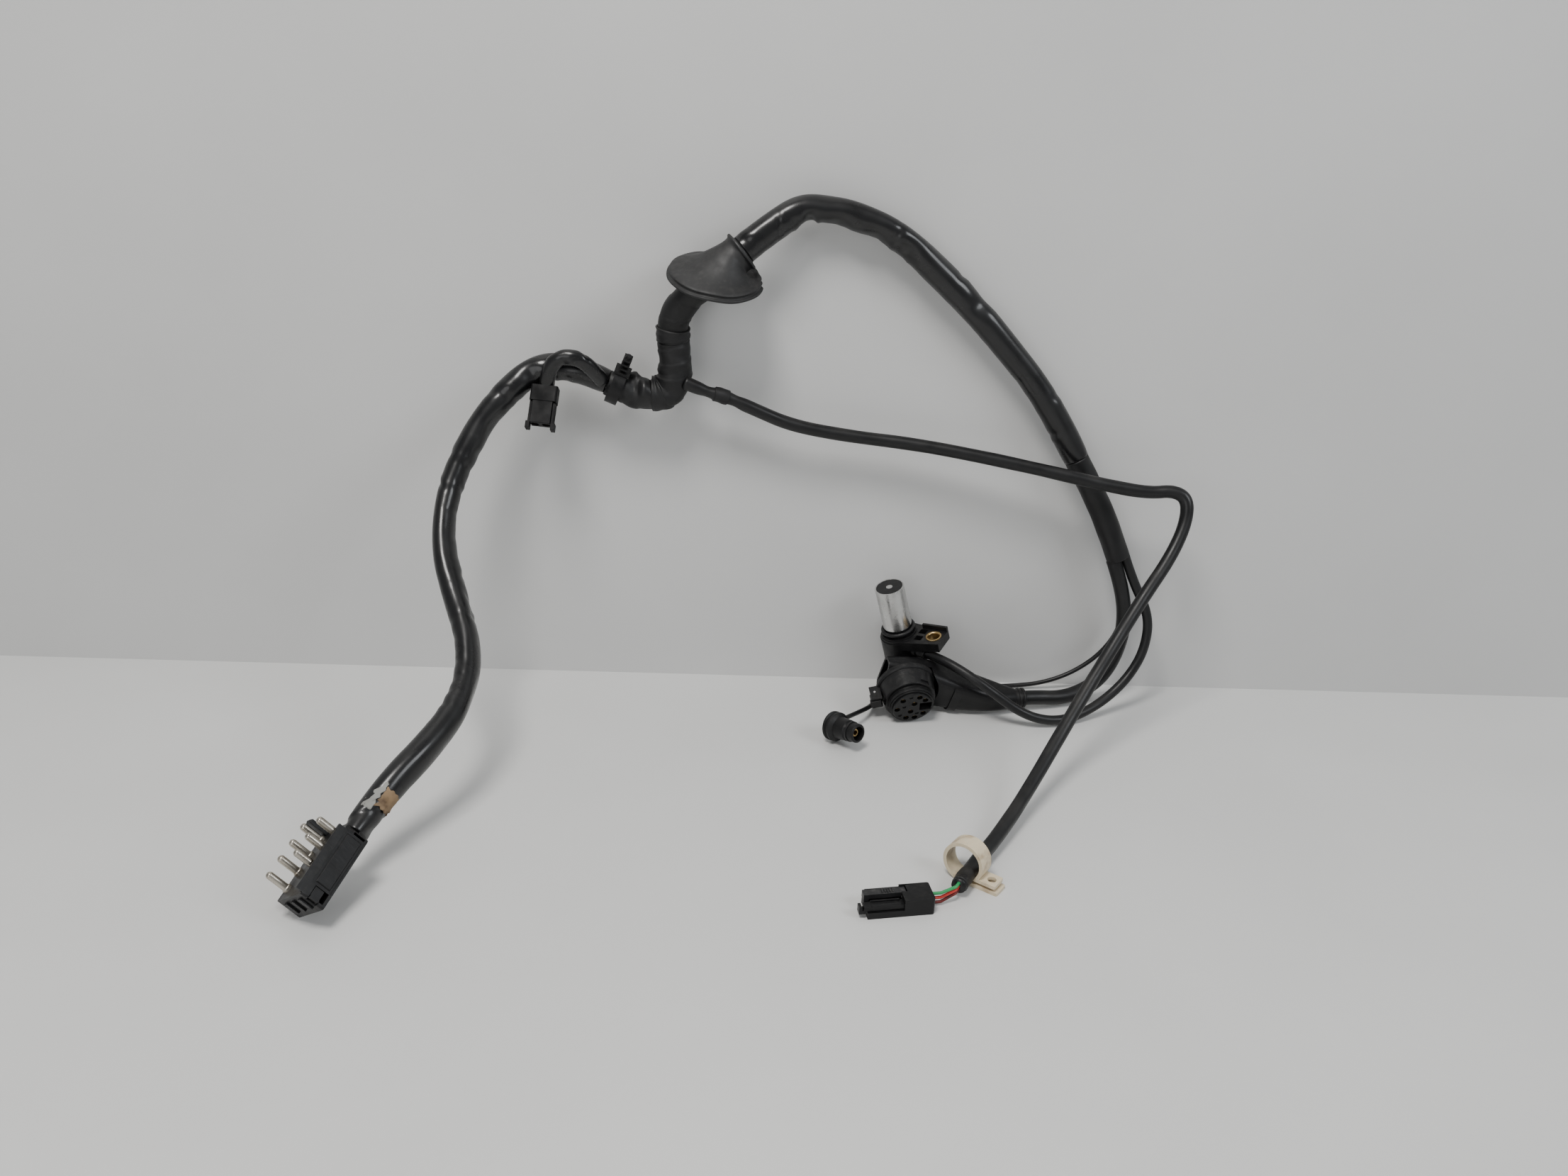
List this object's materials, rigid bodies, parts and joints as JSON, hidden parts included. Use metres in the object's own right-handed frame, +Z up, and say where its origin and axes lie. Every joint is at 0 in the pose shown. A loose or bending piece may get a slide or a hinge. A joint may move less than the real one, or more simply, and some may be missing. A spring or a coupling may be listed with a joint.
{
  "type": "vehicle wiring harness",
  "caption": "Branched wiring harness with a pin header, panel grommet, speed sensor, round and single-pole connectors, a small clipped plug and sleeved cables.",
  "frame": {"origin": "centre of the grommet's lip at its open underside, where a body panel holds the harness", "axes": "+Z up as the harness stands, +Y towards the wall it leans on, +X from the pin header towards the sensor end"},
  "size_m": [0.4761, 0.2663, 0.3043],
  "materials": {
    "pvc": "glossy black sleeving",
    "tape": "matte black tape",
    "cable": "satin black cable jacket",
    "grommet_rubber": "dull dark grey rubber",
    "black_plastic": "moulded black plastic, satin",
    "grey_plastic": "moulded grey plastic, satin",
    "nylon": "yellowed natural nylon",
    "seal_rubber": "soft seal rubber",
    "nickel": "dull nickel plate",
    "steel": "satin steel",
    "brass": "brass, lightly tarnished",
    "magnet": "sintered magnet",
    "copper": "enamelled copper wire",
    "red_wire": "red insulation",
    "lilac_wire": "lilac insulation",
    "green_wire": "green insulation",
    "striped_wire": "dark red striped insulation"
  },
  "bodies": {
    "harness": {"arch_sleeve": "pvc", "backshell_base": "black_plastic", "backshell_cover": "black_plastic", "backshell_strap": "black_plastic", "branch_cable": "cable", "cable_clip": "black_plastic", "cable_collar": "seal_rubber", "grommet": "grommet_rubber", "header_blank_seal": "seal_rubber", "header_cover": "black_plastic", "header_guide_peg": "black_plastic", "header_housing": "black_plastic", "header_pins": "nickel", "header_wire_lilac": "lilac_wire", "header_wire_red": "red_wire", "header_wires_dark": "black_plastic", "heat_shrink": "tape", "junction_wrap": "tape", "main_sleeve": "pvc", "plug_branch_sleeve": "pvc", "plug_housing": "black_plastic", "plug_terminals": "brass", "plug_wire_green": "green_wire", "plug_wire_red": "red_wire", "plug_wire_striped": "striped_wire", "riser_sleeve": "tape", "round_cable": "cable", "round_contacts": "brass", "round_face_seal": "seal_rubber", "round_insert": "black_plastic", "round_shell": "black_plastic", "sensor_barrel": "steel", "sensor_bobbin": "black_plastic", "sensor_body": "black_plastic", "sensor_bush": "brass", "sensor_cable": "cable", "sensor_coil": "copper", "sensor_face": "black_plastic", "sensor_magnet": "magnet", "sensor_oring": "seal_rubber", "sensor_outlet": "black_plastic", "sensor_pole": "steel", "single_boot": "seal_rubber", "single_contact": "brass", "single_housing": "black_plastic", "single_pole_wire": "cable", "single_seal": "seal_rubber", "two_way_cap": "black_plastic", "two_way_contacts": "brass", "two_way_housing": "black_plastic", "two_way_wires": "cable"},
    "coupling_ring": {"coupling_ring": "black_plastic", "ring_lever_pin": "steel"},
    "ring_lever": {"ring_lever": "black_plastic"},
    "header_latch": {"header_latch": "black_plastic"},
    "two_way_latch_left": {"two_way_latch_left": "black_plastic"},
    "two_way_latch_right": {"two_way_latch_right": "black_plastic"},
    "plug_latch": {"plug_latch": "grey_plastic"},
    "plug_lock": {"plug_lock": "black_plastic"},
    "retaining_clip": {"retaining_clip": "nylon"}
  },
  "joints": [
    {"name": "coupling_ring_turn", "type": "hinge", "parent": "harness", "child": "coupling_ring", "pos_m": [0.12247, -0.02139, -0.24066], "axis": [0.156, -0.924, -0.349], "range_deg": [-60, 0]},
    {"name": "ring_lever_tip", "type": "hinge", "parent": "coupling_ring", "child": "ring_lever", "pos_m": [0.10268, -0.02168, -0.24444], "axis": [0.1685, 0.3731, -0.9124], "range_deg": [-6, 6], "stiffness_Nm_per_rad": 0.004},
    {"name": "header_latch_press", "type": "hinge", "parent": "harness", "child": "header_latch", "pos_m": [-0.16813, -0.2339, -0.23713], "axis": [0.67, 0.06, -0.74], "range_deg": [0, 5], "stiffness_Nm_per_rad": 0.02},
    {"name": "two_way_latch_left_spread", "type": "hinge", "parent": "harness", "child": "two_way_latch_left", "pos_m": [-0.1013, -0.0094, -0.06994], "axis": [0, -0.8336, 0.5524], "range_deg": [-6, 0], "stiffness_Nm_per_rad": 0.01},
    {"name": "two_way_latch_right_spread", "type": "hinge", "parent": "harness", "child": "two_way_latch_right", "pos_m": [-0.08824, -0.00998, -0.07081], "axis": [0, -0.8336, 0.5524], "range_deg": [0, 6], "stiffness_Nm_per_rad": 0.01},
    {"name": "plug_latch_press", "type": "hinge", "parent": "harness", "child": "plug_latch", "pos_m": [0.10213, -0.20725, -0.2509], "axis": [0.16, -0.9871, 0], "range_deg": [0, 3], "stiffness_Nm_per_rad": 0.02},
    {"name": "plug_lock_slide", "type": "slide", "parent": "harness", "child": "plug_lock", "axis": [-0.9871, -0.16, 0], "range_m": [0, 0.003]},
    {"name": "clip_turn", "type": "hinge", "parent": "harness", "child": "retaining_clip", "pos_m": [0.1358, -0.1849, -0.247], "axis": [-0.6, -0.8, 0], "range_deg": [0, 60]}
  ]
}
